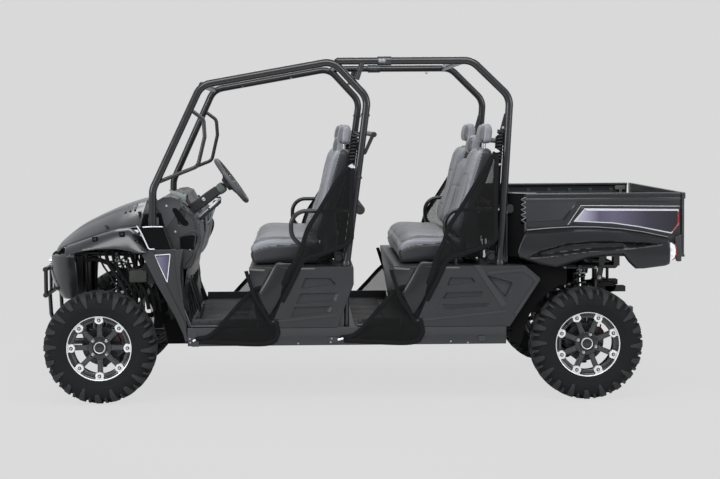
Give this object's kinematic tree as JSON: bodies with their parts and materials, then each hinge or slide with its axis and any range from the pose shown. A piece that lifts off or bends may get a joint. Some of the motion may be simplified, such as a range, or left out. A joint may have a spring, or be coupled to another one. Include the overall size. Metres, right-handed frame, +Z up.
{
  "type": "side by side utility vehicle",
  "caption": "Off-road utility vehicle with two bench rows, roll cage, side nets and a tilting cargo bed with a drop tailgate.",
  "frame": {"origin": "on the ground, halfway between the foremost and rearmost points, in the middle plane", "axes": "+X forward, +Y to the vehicle's left, +Z up"},
  "size_m": [3.78, 1.56, 2],
  "materials": {
    "frame_paint": "satin black powder coat",
    "body_plastic": "gloss black moulded plastic",
    "trim_plastic": "grained black moulded plastic",
    "grip_rubber": "matt grip",
    "vinyl": "grey grained vinyl",
    "net_fabric": "black woven mesh",
    "tyre": "black tread rubber",
    "rim_paint": "gloss black with machined faces",
    "lens": "clear polycarbonate",
    "steel": "satin",
    "cast_metal": "as cast",
    "chrome": "polished"
  },
  "bodies": {
    "chassis": {"frame_rails": "frame_paint", "front_frame": "frame_paint", "rear_frame": "frame_paint", "floor_pan": "trim_plastic", "side_sills": "trim_plastic", "cage_front": "frame_paint", "cage_rear": "frame_paint", "brush_guard": "frame_paint", "front_fascia": "trim_plastic", "headlights": "lens", "front_fenders": "body_plastic", "leg_panels": "trim_plastic", "dash": "trim_plastic", "driver_controls": "trim_plastic", "seat_base_front": "trim_plastic", "seat_base_rear": "trim_plastic", "seat_cushions": "vinyl", "seat_backs": "vinyl", "headrests": "vinyl", "hip_bars": "frame_paint", "side_nets": "net_fabric", "powertrain": "cast_metal", "exhaust": "steel", "front_arms": "frame_paint", "rear_arms": "frame_paint", "shocks": "steel", "rear_knuckles": "cast_metal"},
    "hood": {"hood": "body_plastic"},
    "knuckle_left": {"knuckle_left": "cast_metal"},
    "knuckle_right": {"knuckle_right": "cast_metal"},
    "steering_wheel": {"steering_wheel": "grip_rubber"},
    "steering_rack": {"steering_rack": "steel"},
    "bed": {"bed_floor": "body_plastic", "bed_front": "body_plastic", "bed_sides": "body_plastic", "tail_lights": "lens"},
    "tailgate": {"tailgate": "body_plastic"},
    "strut_tube": {"strut_tube": "frame_paint"},
    "strut_rod": {"strut_rod": "chrome"},
    "wheel_front_left": {"tyre_front_left": "tyre", "rim_front_left": "rim_paint"},
    "wheel_front_right": {"tyre_front_right": "tyre", "rim_front_right": "rim_paint"},
    "wheel_rear_left": {"tyre_rear_left": "tyre", "rim_rear_left": "rim_paint"},
    "wheel_rear_right": {"tyre_rear_right": "tyre", "rim_rear_right": "rim_paint"}
  },
  "joints": [
    {"name": "steer_left", "type": "hinge", "parent": "chassis", "child": "knuckle_left", "pos_m": [1.505, 0.59, 0.328], "axis": [0, 0, 1], "range_deg": [-28, 28]},
    {"name": "steer_right", "type": "hinge", "parent": "chassis", "child": "knuckle_right", "pos_m": [1.505, -0.59, 0.328], "axis": [0, 0, 1], "range_deg": [-28, 28]},
    {"name": "steering_wheel_turn", "type": "hinge", "parent": "chassis", "child": "steering_wheel", "pos_m": [0.751, 0.38, 1.276], "axis": [-0.8039, 0, 0.5948], "range_deg": [-270, 270]},
    {"name": "rack_slide", "type": "slide", "parent": "chassis", "child": "steering_rack", "axis": [0, -1, 0], "range_m": [-0.047, 0.047]},
    {"name": "spin_front_left", "type": "hinge", "parent": "knuckle_left", "child": "wheel_front_left", "pos_m": [1.505, 0.665, 0.328], "axis": [0, 1, 0], "continuous": true},
    {"name": "spin_front_right", "type": "hinge", "parent": "knuckle_right", "child": "wheel_front_right", "pos_m": [1.505, -0.665, 0.328], "axis": [0, 1, 0], "continuous": true},
    {"name": "spin_rear_left", "type": "hinge", "parent": "chassis", "child": "wheel_rear_left", "pos_m": [-1.314, 0.665, 0.328], "axis": [0, 1, 0], "continuous": true},
    {"name": "spin_rear_right", "type": "hinge", "parent": "chassis", "child": "wheel_rear_right", "pos_m": [-1.314, -0.665, 0.328], "axis": [0, 1, 0], "continuous": true},
    {"name": "hood_hinge", "type": "hinge", "parent": "chassis", "child": "hood", "pos_m": [1.823, 0, 0.842], "axis": [0, 1, 0], "range_deg": [0, 70]},
    {"name": "bed_tilt", "type": "hinge", "parent": "chassis", "child": "bed", "pos_m": [-1.594, 0, 0.776], "axis": [0, -1, 0], "range_deg": [0, 45]},
    {"name": "tailgate_hinge", "type": "hinge", "parent": "bed", "child": "tailgate", "pos_m": [-1.883, 0, 0.834], "axis": [0, -1, 0], "range_deg": [0, 90]},
    {"name": "strut_pivot", "type": "hinge", "parent": "chassis", "child": "strut_tube", "pos_m": [-1.4, 0.11, 0.53], "axis": [0, -1, 0], "range_deg": [0, 21]},
    {"name": "strut_slide", "type": "slide", "parent": "strut_tube", "child": "strut_rod", "axis": [0.359, 0, 0.9333], "range_m": [0, 0.195]}
  ],
  "couplings": [
    {"joint": "steer_right", "follows": "steer_left", "ratio": 1},
    {"joint": "steering_wheel_turn", "follows": "steer_left", "ratio": 9.5},
    {"joint": "rack_slide", "follows": "steer_left", "m_per_rad": 0.095},
    {"joint": "strut_pivot", "follows": "bed_tilt", "ratio": 0.452},
    {"joint": "strut_slide", "follows": "bed_tilt", "m_per_rad": 0.2444}
  ]
}
